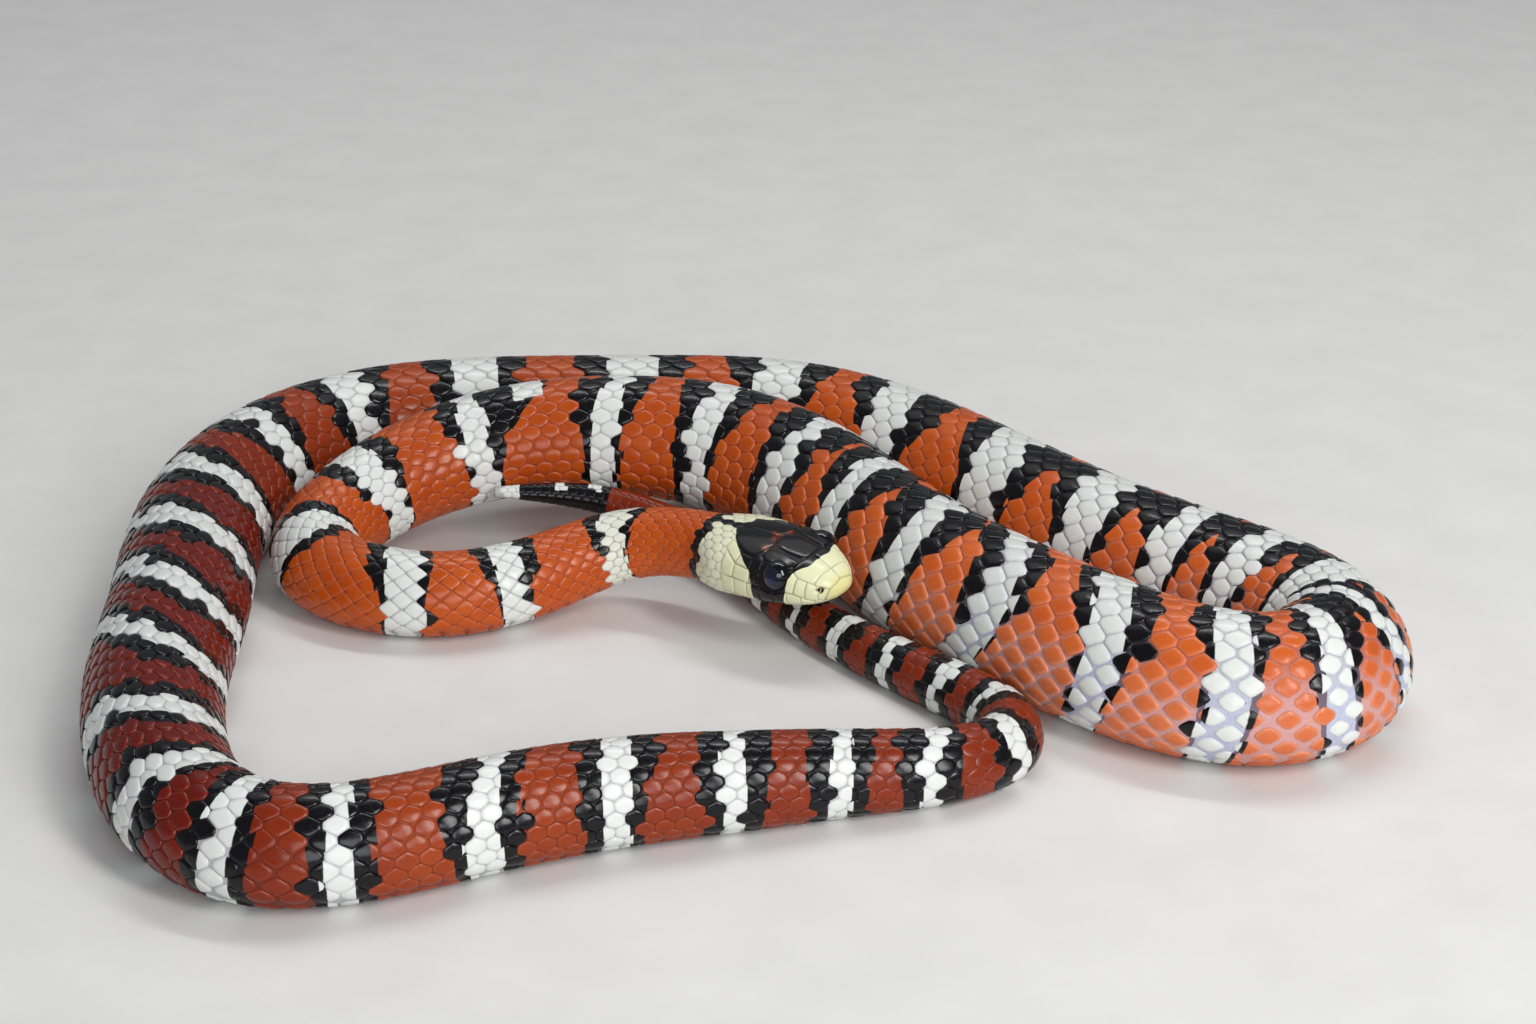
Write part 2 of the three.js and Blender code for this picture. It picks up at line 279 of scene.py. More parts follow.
# The markings are pigment in skin and scales: pale snout, black cap, pale collar, then pale rings edged with black
# on red. A row is one ring in mm: place on the back, half width on back and flank, slant to the left, bow back on
# the flanks, then the black edge ahead and the one behind, each on the back, on the flank and low down.
rings = [
    # neck and the turn at the left
    (46.7, 2.9, 3.2, -2.0, 0.0, 2.2, 0.9, 0.1, 3.3, 1.6, 0.2),
    (69.0, 2.7, 2.5, 0.0, 0.0, 3.2, 1.6, 0.2, 3.2, 1.3, 0.3),
    (87.0, 2.8, 2.5, 2.0, 0.0, 3.0, 1.4, 0.3, 4.6, 1.6, 0.4),
    (108.0, 2.8, 2.8, 0.0, 0.0, 3.6, 1.6, 0.4, 3.6, 1.6, 0.4),
    (128.5, 3.0, 3.2, 0.0, 0.0, 4.0, 1.8, 0.4, 4.5, 2.0, 0.5),
    # front length
    (152.2, 2.1, 3.2, -1.2, 0.0, 4.5, 2.0, 0.5, 13.5, 3.8, 1.0),
    (179.8, 2.3, 2.6, -2.6, 0.0, 5.0, 2.4, 0.9, 4.9, 1.8, 1.0),
    (199.3, 2.7, 3.3, -0.6, 0.0, 5.0, 2.8, 2.0, 6.8, 2.8, 1.5),
    (222.2, 2.6, 3.5, 1.4, 0.0, 6.6, 3.0, 1.5, 8.0, 3.3, 1.2),
    (241.5, 2.6, 3.1, 3.2, 0.0, 6.0, 2.8, 1.2, 8.0, 2.8, 0.6),
    (261.9, 2.8, 3.3, 5.7, 4.3, 7.0, 2.6, 1.1, 8.0, 1.8, 0.5),
    (282.3, 3.0, 3.8, 8.7, 6.5, 5.6, 2.8, 0.5, 5.0, 1.2, 0.4),
    (304.2, 3.3, 3.1, 7.6, 3.1, 4.8, 2.0, 0.8, 5.5, 1.8, 0.4),
    (324.0, 2.6, 2.1, 2.5, 1.5, 3.0, 1.0, 0.5, 2.6, 1.1, 0.5),
    # the tight bend
    (338.4, 1.7, 1.5, -2.8, 0.0, 2.6, 1.2, 0.5, 4.5, 1.0, 0.5),
    (348.4, 1.4, 1.8, -2.8, 0.0, 3.5, 1.0, 0.5, 2.5, 2.0, 0.8),
    (356.8, 3.6, 3.3, 0.0, 0.0, 1.5, 1.0, 0.5, 4.0, 1.4, 0.8),
    # the back length, seen from its right side
    (372.3, 2.9, 2.6, -2.0, 0.0, 4.8, 1.4, 0.8, 5.2, 1.6, 0.7),
    (387.4, 2.7, 2.8, -1.0, 0.0, 5.2, 1.3, 0.8, 6.8, 1.9, 0.9),
    (406.4, 3.8, 4.0, 1.0, 0.0, 6.8, 1.8, 0.9, 8.0, 1.8, 0.9),
    (432.6, 5.0, 5.0, 3.5, 0.0, 9.0, 3.4, 1.2, 7.0, 2.1, 1.0),
    (464.0, 4.8, 5.0, 4.2, 0.0, 9.4, 4.2, 1.5, 5.8, 2.4, 1.0),
    (491.4, 4.8, 4.8, 1.5, 0.0, 7.0, 3.6, 1.2, 6.5, 3.4, 1.2),
    (521.0, 5.3, 5.2, 0.0, 0.0, 6.5, 3.6, 1.4, 6.5, 3.6, 1.4),
    (552.0, 4.1, 4.1, 0.0, 0.0, 6.0, 3.2, 1.4, 6.0, 3.4, 1.6),
    (578.0, 3.7, 3.7, -1.0, 0.0, 6.0, 3.4, 1.6, 6.0, 3.4, 1.8),
    (603.0, 3.3, 3.3, -2.0, 1.0, 5.6, 3.2, 1.8, 5.6, 3.2, 2.0),
    (627.0, 3.1, 3.1, -4.0, 3.0, 5.2, 3.2, 2.2, 5.4, 3.2, 2.2),
    (650.0, 3.0, 3.0, -7.0, 6.0, 5.0, 3.2, 2.4, 5.2, 3.2, 2.4),
    # outer loop at the left
    (672.9, 3.0, 2.8, -9.8, 9.4, 4.8, 3.0, 2.5, 5.0, 3.0, 2.5),
    (694.2, 3.0, 2.9, -9.6, 9.6, 4.7, 2.6, 2.5, 6.0, 3.2, 2.5),
    (717.7, 2.6, 2.8, -5.0, 9.0, 4.6, 4.2, 3.0, 3.6, 2.8, 2.5),
    (735.4, 2.2, 2.1, -4.0, 4.0, 3.7, 3.6, 3.0, 2.0, 2.8, 2.5),
    # the low length in front
    (746.9, 1.7, 1.8, -0.6, 0.0, 3.0, 3.0, 1.8, 1.9, 2.0, 1.8),
    (760.4, 1.4, 1.8, -1.0, 0.0, 3.3, 2.6, 1.4, 3.3, 2.3, 2.4),
    (783.0, 1.9, 2.6, -4.4, 0.0, 5.2, 4.7, 1.8, 4.0, 3.2, 3.4),
    (802.5, 2.1, 2.3, -2.2, 0.0, 4.6, 4.0, 2.8, 4.2, 3.2, 2.4),
    (820.4, 1.8, 1.8, -1.2, 0.0, 3.7, 3.6, 2.8, 4.2, 4.0, 3.0),
    (837.4, 1.4, 1.7, -1.5, 0.0, 4.0, 3.8, 3.0, 4.0, 3.6, 3.0),
    (851.8, 1.4, 1.5, -1.5, 0.0, 3.6, 3.3, 2.8, 3.4, 3.0, 2.6),
    # tail
    (865.0, 1.5, 1.6, -1.0, 0.0, 3.0, 2.8, 2.6, 3.0, 2.8, 2.6),
    (878.0, 1.5, 1.5, 0.0, 0.0, 2.9, 2.7, 2.5, 2.9, 2.7, 2.5),
    (890.5, 1.4, 1.5, 0.5, 0.0, 2.8, 2.6, 2.4, 2.8, 2.6, 2.4),
    (903.0, 1.4, 1.4, 0.0, 0.0, 2.8, 2.6, 2.3, 2.8, 2.6, 2.3),
    (915.0, 1.4, 1.4, -0.4, 0.0, 2.7, 2.5, 2.2, 2.7, 2.5, 2.2),
    (927.0, 1.3, 1.4, 0.0, 0.0, 2.6, 2.4, 2.2, 2.6, 2.4, 2.2),
    (938.5, 1.3, 1.3, 0.4, 0.0, 2.5, 2.3, 2.1, 2.5, 2.3, 2.1),
    (950.0, 1.3, 1.3, 0.0, 0.0, 2.4, 2.2, 2.0, 2.4, 2.2, 2.0),
    (961.5, 1.2, 1.3, 0.0, 0.0, 2.3, 2.1, 1.9, 2.3, 2.1, 1.9),
]
flank_turn, low_turn = math.radians(50), math.radians(100)
ring_reach = 32.0
loop_start, loop_end = 595, 740
wedge_place, wedge_half = 163.7, 2.7
tail_black, tail_pale = 982.0, 998.5
tail_marks = ((984.8, -0.55), (990.8, -0.85))

# The cap on the head: where its front and rear edges cross, by share of the way from the crown to the lip.
cap_front = ([0.0, 0.24, 0.33, 0.44, 0.55, 0.72, 1.0, 1.3], [5.3, 5.2, 5.9, 6.5, 6.9, 7.2, 8.2, 9.4])
cap_rear = ([0.0, 0.12, 0.30, 0.52, 0.60, 0.70, 1.0, 1.3], [22.9, 22.0, 19.6, 15.6, 14.2, 13.6, 13.6, 12.6])
collar_end = 26.6
collar_line = 1.9


def lip_part(s, g):
    """Share of the way from the crown, 0, to the lip, 1, and on to the middle of the chin, 2."""
    lip = np.interp(s, table_s, lip_share)
    reach = np.abs((g + 1.0) % 2.0 - 1.0)
    return np.where(reach < lip, reach / lip, 1 + (reach - lip) / (1 - lip + 1e-9))


def markings(s, g):
    """How far inside the pale and inside the black a place lies, in mm along the body. Negative is outside."""
    shape = np.shape(s)
    s, turn = np.ravel(s), (np.ravel(g) + 1.0) % 2.0 * math.pi - math.pi
    reach = np.abs(turn)
    on_back = np.clip(1.12 - reach / flank_turn, 0, 1)
    low = np.clip((reach - flank_turn) / (low_turn - flank_turn), 0, 1)
    on_flank = 1 - on_back - low
    pale = np.full(s.shape, -99.0)
    dark = np.full(s.shape, -99.0)
    for place, half_back, half_flank, slant, bow, *edges in rings:
        k = np.flatnonzero(np.abs(s - place) < ring_reach)
        shift = slant * np.sin(turn[k]) + bow * (np.cos(turn[k]) - 1)
        if loop_start < place < loop_end:
            # On the outer loop a ring slants only over the back, and closes more squarely under the belly.
            end = math.radians(np.interp(place, [700, 717], [60, 42]))
            over = np.clip(turn[k], -math.pi / 2, end)
            shift = slant * np.sin(over) + bow * (np.cos(over) - 1)
            closed = (slant * (math.sin(end) - 1) + bow * (math.cos(end) - 2)) / 2
            shift += (closed - shift) * smooth_step(1.6, math.pi, reach[k])
        off = s[k] - place - shift
        half = half_back * on_back[k] + half_flank * (1 - on_back[k])
        ahead = edges[0] * on_back[k] + edges[1] * on_flank[k] + edges[2] * low[k]
        behind = edges[3] * on_back[k] + edges[4] * on_flank[k] + edges[5] * low[k]
        pale[k] = np.maximum(pale[k], half - np.abs(off))
        dark[k] = np.maximum(dark[k], np.minimum(off + half + ahead, half + behind - off))
    # A pale wedge lies in the wide black saddle behind the sixth ring. The tail tip is black with two pale
    # marks on its back, and ends pale.
    wedge = np.minimum(wedge_half - np.abs(s - wedge_place), 6 * np.minimum(0.36 - turn, turn + 0.8))
    pale = np.maximum(pale, wedge)
    dark = np.maximum(dark, s - tail_black)
    for place, right_edge in tail_marks:
        pale = np.maximum(pale, np.minimum(1.2 - np.abs(s - place), 2 * np.minimum(turn - right_edge, 1.2 - turn)))
    pale = np.maximum(pale, s - tail_pale)
    part = lip_part(s, turn / math.pi)
    front = np.interp(part, *cap_front)
    rear = np.interp(part, *cap_rear)
    end = collar_end + 0.9 * smooth_step(0.3, 1.0, part)
    bridge = reach * np.interp(s, table_s, half_girth) / math.pi - 0.8
    collar = np.minimum(np.minimum(s - rear, end - s), np.where(s > 19, bridge, 9.0))
    pale = np.maximum(pale, np.maximum(front - s, collar))
    dark = np.maximum(dark, end + collar_line - s)
    return pale.reshape(shape), dark.reshape(shape)


def joined_mesh(name, points, quads, fans, marks, uv=None, corner_uv=None):
    """One mesh object from points in mm, quads and triangles, its marks as float attributes and its OFBake map."""
    quads = np.asarray(quads).reshape(-1, 4)
    fans = np.asarray(fans).reshape(-1, 3)
    corners = np.concatenate([quads.ravel(), fans.ravel()]).astype(np.int32)
    starts = np.concatenate([np.arange(len(quads)) * 4, len(quads) * 4 + np.arange(len(fans)) * 3]).astype(np.int32)
    mesh = bpy.data.meshes.new(name)
    mesh.vertices.add(len(points))
    mesh.vertices.foreach_set("co", (points * MM).astype(np.float32).ravel())
    mesh.loops.add(len(corners))
    mesh.loops.foreach_set("vertex_index", corners)
    mesh.polygons.add(len(starts))
    mesh.polygons.foreach_set("loop_start", starts)
    mesh.polygons.foreach_set("use_smooth", np.ones(len(starts), bool))
    for mark, values in marks.items():
        layer = mesh.attributes.new(mark, "FLOAT", "POINT")
        layer.data.foreach_set("value", values.astype(np.float32).ravel())
    layer = mesh.uv_layers.new(name="OFBake")
    flat = uv[corners] if corner_uv is None else corner_uv
    layer.data.foreach_set("uv", flat.astype(np.float32).ravel())
    mesh.update(calc_edges=True)
    mesh.validate()
    piece = bpy.data.objects.new(name, mesh)
    bpy.context.scene.collection.objects.link(piece)
    return piece


# The skin's unwrap for the bake: the body slit along the belly and cut into four strips, one over another.
strips = 4
strip_length = body_length / strips


def strip_at(s):
    return np.minimum((s // strip_length).astype(int), strips - 1)


def unwrap(s, g, strip):
    along_strip = (s - strip * strip_length) / strip_length
    across = (g + 1.0) / 2.0
    return np.stack([0.02 + 0.96 * along_strip, (strip + 0.04 + 0.92 * across) / strips], -1)


# The skin: one soft sleeve from the lips to the tail tip, with no seams. It shows as a lilac or pink net between
# scales where a meal has spread them, and carries the same markings as they do.
skin_step = 1.25
skin_s = np.concatenate([
    head_end * np.linspace(0.012, 1.0, 120) ** 1.6,
    np.arange(head_end + skin_step, body_length - 1.0, skin_step),
    [body_length - 0.5, body_length - 0.05],
])
skin_sides = 80
skin_clearance = 0.32


def spread_at(s, g):
    """How far apart the scales are pushed: 0 where they touch, 1 on the full flank at the right."""
    reach = np.abs((g + 1.0) % 2.0 - 1.0) * math.pi
    full = smooth_step(225.0, 300.0, s) * (1 - smooth_step(360.0, 430.0, s))
    return full * (0.25 + 0.75 * smooth_step(0.7, 1.5, reach))


def red_depth_and_shade_at(s):
    """How dark the red is, partly its own darker tone and partly painted shade: brightest on the front length, dark on
    the outer loop and the tail, where the coil lies in shade.
    """
    return np.interp(s, [30, 60, 150, 215, 270, 345, 420, 480, 560, 640, 740, 770, 830, 1000],
                     [0.3, 0.35, 0.45, 0.4, 0.1, 0.3, 0.2, 0.35, 0.6, 1.0, 1.0, 0.7, 0.85, 0.9])


def warm_at(s):
    return 1 - smooth_step(14.0, 75.0, s) * 0.85


def band_faces(rows, around):
    """Quads between rows of points that each close in a ring."""
    r, k = np.divmod(np.arange((rows - 1) * around), around)
    here, beside = r * around + k, r * around + (k + 1) % around
    return np.stack([here, beside, beside + around, here + around], -1)


def fan_faces(start, around, middle):
    """Triangles from a middle point to the ring of points that begins at start."""
    k = np.arange(around)
    return np.stack([start + k, start + (k + 1) % around, np.full(around, middle)], -1)


def skin_mesh():
    g = np.linspace(-1.0, 1.0, skin_sides + 1)[:-1]
    s_all, g_all = [a.ravel() for a in np.meshgrid(skin_s, g, indexing="ij")]
    points = lay(s_all, g_all, np.zeros(len(s_all)), floor=skin_clearance)
    rows, n = len(skin_s), skin_sides
    quads = band_faces(rows, n)
    snout, tip = rows * n, rows * n + 1
    fans = np.concatenate([fan_faces(0, n, snout)[:, [2, 1, 0]], fan_faces((rows - 1) * n, n, tip)[:, [2, 0, 1]]])
    points = np.vstack([points, points[:n].mean(0), points[-n:].mean(0)])
    s_all = np.append(s_all, [skin_s[0], skin_s[-1]])
    g_all = np.append(g_all, [0.0, 0.0])
    pale, dark = markings(s_all, g_all)
    r, c = np.divmod(np.arange(len(quads)), n)
    corner_uv = np.stack([
        unwrap(skin_s[r + dr], g[c] + dg * (g[1] - g[0]), strip_at(skin_s[r]))
        for dr, dg in ((0, 0), (0, 1), (1, 1), (1, 0))], 1).reshape(-1, 2)
    fan_uv = unwrap(s_all[fans], g_all[fans], np.where(s_all[fans] < body_length / 2, 0, strips - 1)).reshape(-1, 2)
    marks = {
        "pale": pale, "dark": dark, "spread": spread_at(s_all, g_all),
        "red_depth_and_shade": red_depth_and_shade_at(s_all), "warm": warm_at(s_all),
    }
    return joined_mesh("skin", points, quads, fans, marks, corner_uv=np.vstack([corner_uv, fan_uv]))


skin = skin_mesh()


def colour(red, green, blue):
    """A colour given as it looks on a screen, 0 to 255, in the linear light that the shaders use."""
    return tuple((c / 255 / 12.92) if c < 11 else ((c / 255 + 0.055) / 1.055) ** 2.4 for c in (red, green, blue)) + (1,)


class Nodes:
    """A small helper that adds nodes to one node tree and joins them."""

    def __init__(self, tree):
        self.nodes, self.links = tree.nodes, tree.links

    def put(self, value, socket):
        if isinstance(value, bpy.types.NodeSocket):
            self.links.new(value, socket)
        else:
            socket.default_value = value

    def mark(self, name):
        node = self.nodes.new("ShaderNodeAttribute")
        node.attribute_name = name
        return node.outputs["Fac"]

    def noise(self, scale, detail):
        place = self.nodes.new("ShaderNodeTexCoord")
        node = self.nodes.new("ShaderNodeTexNoise")
        node.inputs["Scale"].default_value = scale
        node.inputs["Detail"].default_value = detail
        self.links.new(place.outputs["Object"], node.inputs["Vector"])
        return node.outputs["Fac"]

    def sum(self, operation, a, b):
        node = self.nodes.new("ShaderNodeMath")
        node.operation = operation
        self.put(a, node.inputs[0])
        self.put(b, node.inputs[1])
        return node.outputs[0]

    def ramp(self, value, low, high, to_low=0.0, to_high=1.0):
        node = self.nodes.new("ShaderNodeMapRange")
        self.put(value, node.inputs["Value"])
        for socket, number in (("From Min", low), ("From Max", high), ("To Min", to_low), ("To Max", to_high)):
            node.inputs[socket].default_value = number
        return node.outputs["Result"]

    def mix(self, factor, a, b):
        node = self.nodes.new("ShaderNodeMix")
        node.data_type = "RGBA"
        self.put(factor, node.inputs["Factor"])
        self.put(a, node.inputs["A"])
        self.put(b, node.inputs["B"])
        return node.outputs["Result"]


def marking_group():
    """Chooses between red, black and pale by how far inside each a place lies, with slightly ragged edges."""
    group = bpy.data.node_groups.new("ring_marking", "ShaderNodeTree")
    for direction, kind, names in (("INPUT", "NodeSocketFloat", ("Pale", "Dark", "Ragged")),
                                   ("INPUT", "NodeSocketColor", ("Red", "Black", "Cream")),
                                   ("OUTPUT", "NodeSocketColor", ("Color",)),
                                   ("OUTPUT", "NodeSocketFloat", ("In Black",))):
        for name in names:
            group.interface.new_socket(name, in_out=direction, socket_type=kind)
    m = Nodes(group)
    given, out = m.nodes.new("NodeGroupInput").outputs, m.nodes.new("NodeGroupOutput").inputs
    ragged = m.sum("MULTIPLY", m.sum("SUBTRACT", m.noise(900.0, 2.0), 0.5), given["Ragged"])
    in_pale, in_dark = [m.ramp(m.sum("ADD", given[name], ragged), -0.05, 0.05) for name in ("Pale", "Dark")]
    under = m.mix(in_dark, given["Red"], given["Black"])
    m.put(m.mix(in_pale, under, given["Cream"]), out["Color"])
    m.put(m.sum("MULTIPLY", m.sum("SUBTRACT", 1.0, in_pale), in_dark), out["In Black"])
    return group


ring_marking = marking_group()


class Shader(Nodes):
    """One material, with its Principled surface."""

    def __init__(self, name, roughness):
        self.material = bpy.data.materials.new(name)
        self.material.use_nodes = True
        super().__init__(self.material.node_tree)
        self.surface = self.nodes["Principled BSDF"]
        self.surface.inputs["Roughness"].default_value = roughness
        self.surface.inputs["Specular IOR Level"].default_value = 0.26

    def marked(self, red, black, cream, ragged):
        node = self.nodes.new("ShaderNodeGroup")
        node.node_tree = ring_marking
        self.put(self.mark("pale"), node.inputs["Pale"])
        self.put(self.mark("dark"), node.inputs["Dark"])
        self.put(ragged, node.inputs["Ragged"])
        self.put(red, node.inputs["Red"])
        self.put(black, node.inputs["Black"])
        self.put(cream, node.inputs["Cream"])
        return node.outputs["Color"], node.outputs["In Black"]

    def bump(self, height, strength, distance):
        node = self.nodes.new("ShaderNodeBump")
        node.inputs["Strength"].default_value = strength
        node.inputs["Distance"].default_value = distance
        self.put(height, node.inputs["Height"])
        self.links.new(node.outputs["Normal"], self.surface.inputs["Normal"])


def skin_material():
    m = Shader("bare_skin", 0.42)
    spread = m.mark("spread")
    # The skin's red goes darker where the coil lies in shade: painted shade, with some of the red's own darker tone.
    red = m.mix(spread, m.mix(m.mark("red_depth_and_shade"), colour(190, 84, 40), colour(96, 24, 10)), colour(212, 158, 154))
    black = m.mix(spread, colour(12, 11, 14), colour(118, 102, 116))
    cream = m.mix(spread, m.mix(m.mark("warm"), colour(184, 186, 190), colour(196, 196, 160)), colour(190, 194, 216))
    painted, _ = m.marked(red, black, cream, 0.3)
    folds = m.noise(2600.0, 4.0)
    painted = m.mix(m.ramp(folds, 0.35, 0.75, 0.0, 0.35), painted, m.mix(0.6, painted, colour(70, 50, 56)))
    m.put(painted, m.surface.inputs["Base Color"])
    m.put(m.ramp(folds, 0.3, 0.7, 0.38, 0.52), m.surface.inputs["Roughness"])
    m.bump(folds, 0.5, 0.0001)
    return m.material


skin.data.materials.append(skin_material())
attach(skin, "root")
flesh_nodes = [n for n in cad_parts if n.startswith(("head", "neck", "torso", "tail"))]
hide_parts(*flesh_nodes)


# The scales of the back and flanks: 21 lengthwise rows at mid body, each scale a smooth, slightly domed hexagon
# of horn about 4 mm long, rooted at its front edge and lifted a little behind, over the next one.
pitch_at = [18, 30, 46, 90, 130, 165, 200, 235, 262, 290, 304, 316, 326, 336, 350, 375, 430, 560, 640, 700, 742,
            770, 828, 860, 900, 950, 985, 1003]
pitch_mm = [2.1, 2.5, 3.1, 3.4, 3.6, 4.0, 4.4, 5.0, 5.2, 5.0, 4.7, 3.8, 3.5, 3.0, 3.0, 4.4, 4.8, 4.8, 4.4, 4.0, 3.2,
            3.3, 3.2, 2.9, 2.5, 2.1, 1.7, 1.5]
rows_at = [0, 560, 700, 828, 850, 900, 950, 1003]
rows_count = [21, 21, 19, 17, 14, 10, 8, 6]
back_edge_share = 0.715
tail_edge_share = 0.80
vent = 828.0
beat_s = np.arange(10.0, body_length, 0.25)
beats = np.cumsum(0.25 / np.interp(beat_s, pitch_at, pitch_mm))
rng = np.random.default_rng(7)
outline_points = 16
quarter_turn = np.radians([0.0, 16.0, 40.0, 67.0])
outline_angle = np.concatenate([quarter_turn, math.pi / 2, math.pi - quarter_turn[:0:-1]], axis=None)
outline_angle = np.concatenate([outline_angle, outline_angle + math.pi])
rims = (1.04, 1.0, 0.9, 0.66, 0.34)
outline_sharpness = 17.0
gap_head, gap_body, gap_spread = 0.03, 0.04, 0.37
size_varies, tilt_varies, edge_varies = 0.012, 0.03, 0.10
root_sink = -0.12
rim_lift = 0.55
tuck_length = 1.3
scale_clearance = 0.02
patch_size = 0.003


def belly_edge(s):
    """Girth share where the small scales end and the broad belly scales begin."""
    return back_edge_share + (tail_edge_share - back_edge_share) * smooth_step(vent - 10, vent + 20, s)


def shield_end(s, g):
    """Distance behind the snout where the head shields end."""
    return np.interp(lip_part(s, g), [0.0, 0.12, 0.27, 0.42, 0.55, 0.74, 1.0, 1.03, 1.25, 1.42, 1.52, 1.76, 2.0],
                     [20.7, 21.4, 20.5, 20.8, 20.1, 19.9, 20.1, 19.4, 19.4, 18.3, 16.9, 16.8, 16.4])


def scale_roots():
    """Place and lengthwise spacing of every small scale, row by row."""
    found = []
    for row in range(-16, 17):
        first = math.ceil(beats[0]) + 0.5 * (row % 2)
        beat = np.arange(first, beats[-1] - 0.6, 1.0)
        s = np.interp(beat, beats, beat_s)
        spacing = 2 * belly_edge(s) / np.interp(s, rows_at, rows_count)
        g = row * spacing
        keep = (np.abs(g) < belly_edge(s) - 0.3 * spacing) | ((s < 25.0) & (np.abs(g) < 1.0 - 0.3 * spacing))
        keep &= s > shield_end(s, g) - 0.9
        found.append(np.stack([s, g, spacing * girth_at(s)], -1)[keep])
    roots = np.vstack(found)
    local = look_up(stretch, roots[:, 0], roots[:, 1])
    crowded = (local < 0.45) & (np.round(np.interp(roots[:, 0], beat_s, beats) * 2).astype(int) % 4 < 2)
    return roots[~crowded], local[~crowded]


def rounded_outline(angle, planes, sharpness):
    """Radius of a rounded shape bounded by straight sides, each given by its direction and distance."""
    total = 0.0
    for direction, distance in planes:
        total = total + (np.maximum(0.0, np.cos(angle - direction)) / distance) ** sharpness
    return total ** (-1.0 / sharpness)


def plate_faces(count, points, rim_count):
    """Faces of count plates, each of rims of points round a middle point."""
    quads = band_faces(rim_count, points)
    fans = fan_faces((rim_count - 1) * points, points, rim_count * points)
    offset = np.arange(count)[:, None, None] * (rim_count * points + 1)
    return (quads[None] + offset).reshape(-1, 4), (fans[None] + offset).reshape(-1, 3)


def stack_rims(out_x, out_y, shares, raised):
    """Points of plates, rim by rim and then the middle: x, y, lift and share of the way out."""
    made = []
    for share in shares + (0.0,):
        x, y = (out_x * share, out_y * share) if share else np.zeros((2, len(out_x), 1))
        lift = raised(share, x, y) if share <= 1.0 else np.full_like(x, root_sink)
        made.append((x, y, lift, np.full_like(x, min(share, 1.0))))
    return [np.concatenate(a, 1) for a in zip(*made)]


def plate_marks(s, pale, dark, rim, spread):
    """Marks of plates rooted at s. Tone, spread, the red's darkness with its painted shade, and warmth are one value to
    a plate.
    """
    marks = {"pale": pale, "dark": dark, "rim": rim}
    for name, values in (("tone", rng.random(len(s))), ("spread", spread), ("red_depth_and_shade", red_depth_and_shade_at(s)), ("warm", warm_at(s))):
        marks[name] = np.repeat(values[:, None], rim.shape[1], 1)
    return marks


def lattice_plates(name, roots, local):
    """Small scales at the given roots, as one joined mesh."""
    s, g, across = roots.T
    count = len(s)
    pitch = np.interp(s, pitch_at, pitch_mm)
    length = pitch * np.clip(local, 0.6, 1.35)
    spread = spread_at(s, g)
    gap = gap_head + gap_body * smooth_step(26.0, 60.0, s) + gap_spread * spread
    gap = gap * np.minimum(1.0, across / 2.0)
    angle = outline_angle[None]
    slant = (np.arctan2(across, length / 2) + 0.2 - 0.14 * spread)[:, None]
    lean = (length[:, None] / 2 * np.cos(slant) + across[:, None] * np.sin(slant)) / 2 - gap[:, None] / 2
    end = (length / 2 - gap * (0.5 - 0.25 * spread))[:, None]
    side = (across * (0.94 - 0.36 * spread))[:, None]
    planes = [(0.0, end), (math.pi, end), (math.pi / 2, side), (-math.pi / 2, side)]
    planes += [(slant, lean), (-slant, lean), (math.pi - slant, lean), (slant - math.pi, lean)]
    radius = rounded_outline(angle, planes, outline_sharpness)
    radius *= 1 + rng.normal(0.0, size_varies, (count, 1))
    depth = coat_depth(s)[:, None]
    tilt = rng.normal(0.0, tilt_varies, (count, 1)) * depth
    full = spread[:, None]

    def raised(share, x, y):
        rear = 0.5 + 0.5 * x / end
        edge = depth * (0.24 + 0.34 * rear * (1 - 0.5 * full))
        dome = depth * (0.24 + 0.20 * full) * (1 - share ** 2.4)
        return edge * (rim_lift if share == 1.0 else 1.0) + dome + tilt * y / across[:, None]

    x, y, lift, rim = stack_rims(radius * np.cos(angle), radius * np.sin(angle), rims, raised)
    s_at = np.clip(s[:, None] + x / np.maximum(local, 0.45)[:, None], 0.05, body_length - 0.05)
    g_at = g[:, None] + y / girth_at(s)[:, None]
    # The first scales behind the head slip under the shields.
    lift *= 0.15 + 0.85 * smooth_step(0.0, tuck_length, s_at - shield_end(s_at, g_at))
    points = lay(s_at, g_at, lift, floor=scale_clearance)
    pale, dark = markings(s_at, g_at)
    # A scale well inside a marking keeps one colour from edge to edge, as real ones mostly do.
    wander = rng.normal(0.0, edge_varies, (count, 1)) * pitch[:, None]
    for field in (pale, dark):
        field += wander
        middle = field[:, -1:] + wander
        whole = np.abs(middle) > 0.22 * pitch[:, None]
        field[:] = np.where(whole, np.sign(middle) * np.maximum(np.abs(field), 0.5), field)
    uv = unwrap(s, g, strip_at(s))[:, None]
    uv = uv + np.stack([x, y], -1) / np.maximum(length, across * 2)[:, None, None] * patch_size
    marks = plate_marks(s, pale, dark, rim, spread)
    quads, fans = plate_faces(count, outline_points, len(rims))
    return joined_mesh(name, points.reshape(-1, 3), quads, fans, marks, uv=uv.reshape(-1, 2))


